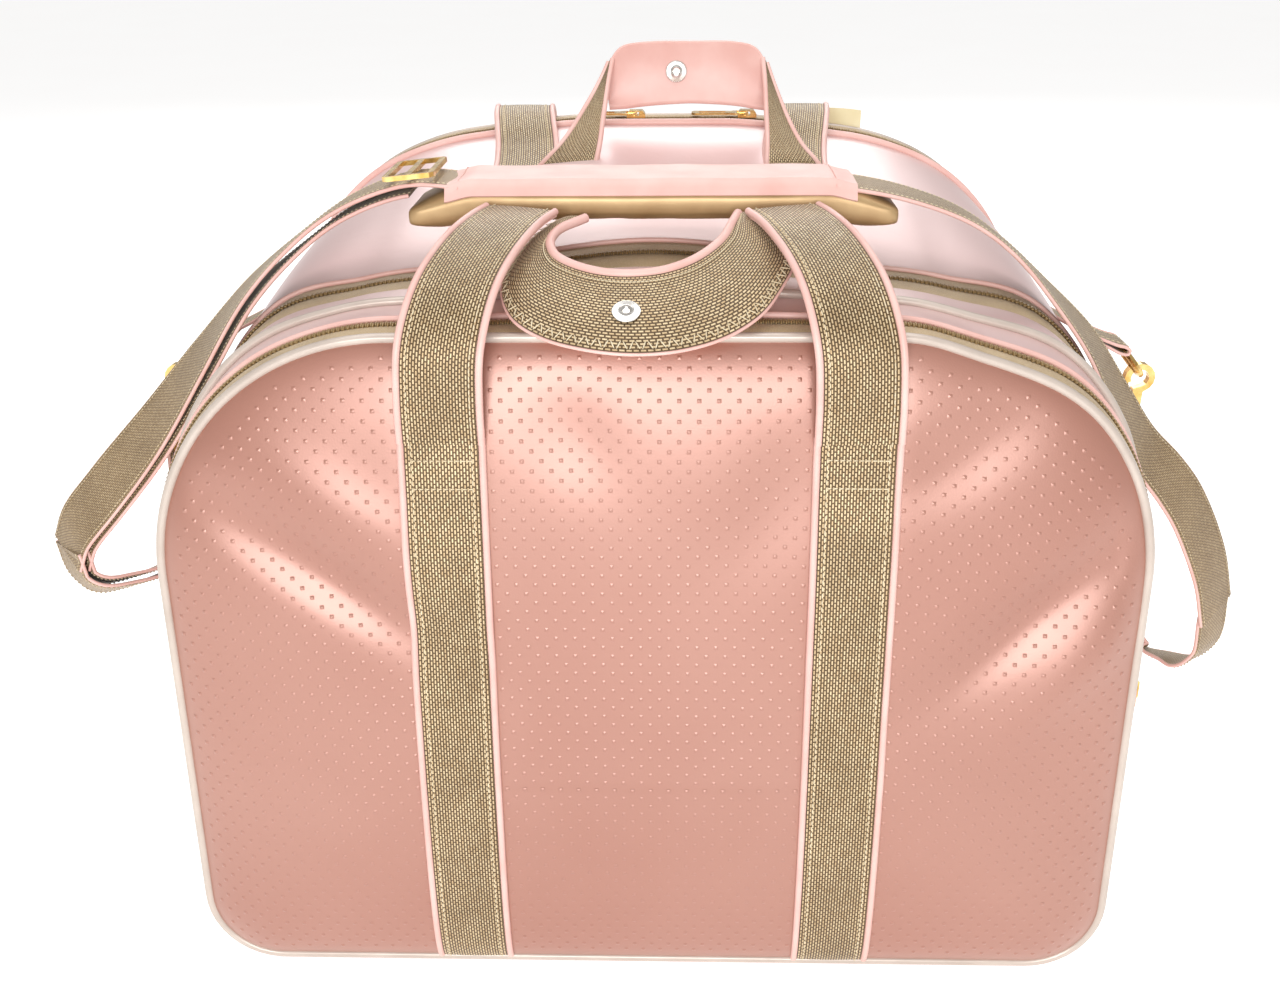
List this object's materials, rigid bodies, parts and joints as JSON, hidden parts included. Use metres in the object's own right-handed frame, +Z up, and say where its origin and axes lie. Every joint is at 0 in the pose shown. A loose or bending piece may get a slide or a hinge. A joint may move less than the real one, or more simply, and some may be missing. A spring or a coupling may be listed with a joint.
{
  "type": "sports bag",
  "caption": "Soft D-shaped sports bag with a front pocket, zip-open front and rear flaps, webbing handles and a padded shoulder strap on snap hooks.",
  "frame": {"origin": "on the flat base, under the middle of the bag's width, 75 mm behind the expansion zip", "axes": "+X to the bag's right seen from behind its front panel, +Y from the front panel to the rear panel, +Z up"},
  "size_m": [0.7087, 0.3654, 0.4435],
  "materials": {
    "pearl": "pearlescent coated",
    "gusset": "smooth pearl coated",
    "piping": "glossy greige",
    "tape": "woven zip tape",
    "webbing": "coarse metallic weave",
    "edging": "matt coated",
    "pad": "padded, metallic",
    "lining": "woven",
    "board": "matt",
    "gold": "polished, pale gold",
    "rose": "polished, rose gold"
  },
  "bodies": {
    "main_body": {"main_gusset_upper": "gusset", "main_gusset_lower": "gusset", "main_zip_body_tape": "tape", "expansion_tape_rear": "tape", "expansion_bellows": "lining", "base_panel": "piping", "base_board": "board", "rear_panel_lower": "pearl", "rear_piping_lower": "piping", "side_tab_left": "webbing", "side_tab_right": "webbing", "hook_left": "gold", "hook_right": "gold", "hook_eye_left": "gold", "hook_eye_right": "gold", "strap_drop_left": "webbing", "strap_drop_right": "webbing"},
    "front_pocket": {"pocket_gusset_lower": "gusset", "pocket_gusset_upper": "gusset", "pocket_zip_body_tape": "tape", "pocket_piping": "piping", "expansion_tape_front": "tape", "pocket_divider": "lining", "front_panel_lower": "pearl", "front_piping_lower": "piping", "front_strap_left_lower": "webbing", "front_strap_right_lower": "webbing"},
    "front_flap": {"front_panel_upper": "pearl", "front_piping_upper": "piping", "pocket_zip_flap_tape": "tape", "front_strap_left_upper": "webbing", "front_strap_right_upper": "webbing"},
    "front_handle": {"front_leg_left": "webbing", "front_leg_right": "webbing"},
    "front_grip": {"front_grip": "webbing"},
    "rear_flap": {"rear_panel_upper": "pearl", "rear_piping_upper": "piping", "main_zip_flap_tape": "tape", "rear_strap_left_upper": "webbing", "rear_strap_right_upper": "webbing"},
    "rear_handle": {"rear_leg_left": "webbing", "rear_leg_right": "webbing", "rear_grip": "webbing"},
    "shoulder_strap": {"strap_left": "webbing", "strap_right": "webbing"},
    "shoulder_pad": {"shoulder_pad": "pad", "pad_sleeve": "edging"},
    "strap_adjuster": {"strap_adjuster": "gold"},
    "d_ring_left": {"d_ring_left": "gold"},
    "d_ring_right": {"d_ring_right": "gold"},
    "gate_left": {"hook_gate_left": "rose"},
    "gate_right": {"hook_gate_right": "rose"},
    "pocket_zip": {"pocket_zip_slider": "gold"},
    "pocket_zip_pull": {"pocket_zip_pull": "rose"},
    "expansion_zip": {"expansion_zip_slider": "gold"},
    "expansion_zip_pull": {"expansion_zip_pull": "gold"},
    "main_zip_left": {"main_zip_left_slider": "gold"},
    "main_zip_left_pull": {"main_zip_left_pull": "gold"},
    "main_zip_right": {"main_zip_right_slider": "gold"},
    "main_zip_right_pull": {"main_zip_right_pull": "gold"}
  },
  "joints": [
    {"name": "pocket_expand", "type": "slide", "parent": "main_body", "child": "front_pocket", "axis": [0, -1, 0], "range_m": [0, 0.03]},
    {"name": "front_flap_fold", "type": "hinge", "parent": "front_pocket", "child": "front_flap", "pos_m": [0, -0.1931, 0.15], "axis": [1, 0, 0], "range_deg": [0, 95]},
    {"name": "front_handle_fold", "type": "hinge", "parent": "front_flap", "child": "front_handle", "pos_m": [0, -0.1776, 0.3005], "axis": [1, 0, 0], "range_deg": [0, 110]},
    {"name": "front_grip_unfold", "type": "hinge", "parent": "front_handle", "child": "front_grip", "pos_m": [0, -0.0955, 0.384], "axis": [-1, 0, 0], "range_deg": [0, 110]},
    {"name": "rear_flap_fold", "type": "hinge", "parent": "main_body", "child": "rear_flap", "pos_m": [0, 0.1568, 0.1683], "axis": [-1, 0, 0], "range_deg": [0, 95]},
    {"name": "rear_handle_fold", "type": "hinge", "parent": "rear_flap", "child": "rear_handle", "pos_m": [0, 0.1585, 0.386], "axis": [-1, 0, 0], "range_deg": [0, 100]},
    {"name": "strap_lift", "type": "slide", "parent": "main_body", "child": "shoulder_strap", "axis": [0, 0, 1], "range_m": [0, 0.04]},
    {"name": "pad_slide", "type": "slide", "parent": "shoulder_strap", "child": "shoulder_pad", "axis": [1, 0, 0], "range_m": [-0.008, 0.008]},
    {"name": "adjuster_slide", "type": "slide", "parent": "shoulder_strap", "child": "strap_adjuster", "axis": [1, 0, 0], "range_m": [-0.03, 0.01]},
    {"name": "d_ring_left_swing", "type": "hinge", "parent": "main_body", "child": "d_ring_left", "pos_m": [-0.26456, -0.02, 0.29067], "axis": [0, 1, 0], "range_deg": [0, 3]},
    {"name": "gate_left_pull", "type": "slide", "parent": "main_body", "child": "gate_left", "axis": [0, 0, -1], "range_m": [0, 0.005], "stiffness_N_per_m": 150},
    {"name": "d_ring_right_swing", "type": "hinge", "parent": "main_body", "child": "d_ring_right", "pos_m": [0.26456, -0.02, 0.29067], "axis": [0, -1, 0], "range_deg": [0, 3]},
    {"name": "gate_right_pull", "type": "slide", "parent": "main_body", "child": "gate_right", "axis": [0, 0, -1], "range_m": [0, 0.005], "stiffness_N_per_m": 150},
    {"name": "pocket_zip_run", "type": "slide", "parent": "front_pocket", "child": "pocket_zip", "axis": [0, 0.0899, 0.996], "range_m": [0, 0.06]},
    {"name": "expansion_zip_run", "type": "slide", "parent": "main_body", "child": "expansion_zip", "axis": [0, 0, 1], "range_m": [0, 0.11]},
    {"name": "main_zip_left_run", "type": "slide", "parent": "main_body", "child": "main_zip_left", "axis": [-1, 0, 0], "range_m": [0, 0.055]},
    {"name": "main_zip_right_run", "type": "slide", "parent": "main_body", "child": "main_zip_right", "axis": [1, 0, 0], "range_m": [0, 0.035]},
    {"name": "pocket_zip_pull_swing", "type": "hinge", "parent": "pocket_zip", "child": "pocket_zip_pull", "pos_m": [0.2419, -0.1746, 0.1627], "axis": [0, -1, 0], "range_deg": [0, 90]},
    {"name": "expansion_zip_pull_swing", "type": "hinge", "parent": "expansion_zip", "child": "expansion_zip_pull", "pos_m": [0.2419, -0.075, 0.11393], "axis": [0, -1, 0], "range_deg": [0, 90]},
    {"name": "main_zip_left_pull_swing", "type": "hinge", "parent": "main_zip_left", "child": "main_zip_left_pull", "pos_m": [-0.014, 0.1358, 0.3963], "axis": [0, 1, 0], "range_deg": [0, 120]},
    {"name": "main_zip_right_pull_swing", "type": "hinge", "parent": "main_zip_right", "child": "main_zip_right_pull", "pos_m": [0.058, 0.1358, 0.39625], "axis": [0, 1, 0], "range_deg": [0, 120]}
  ]
}
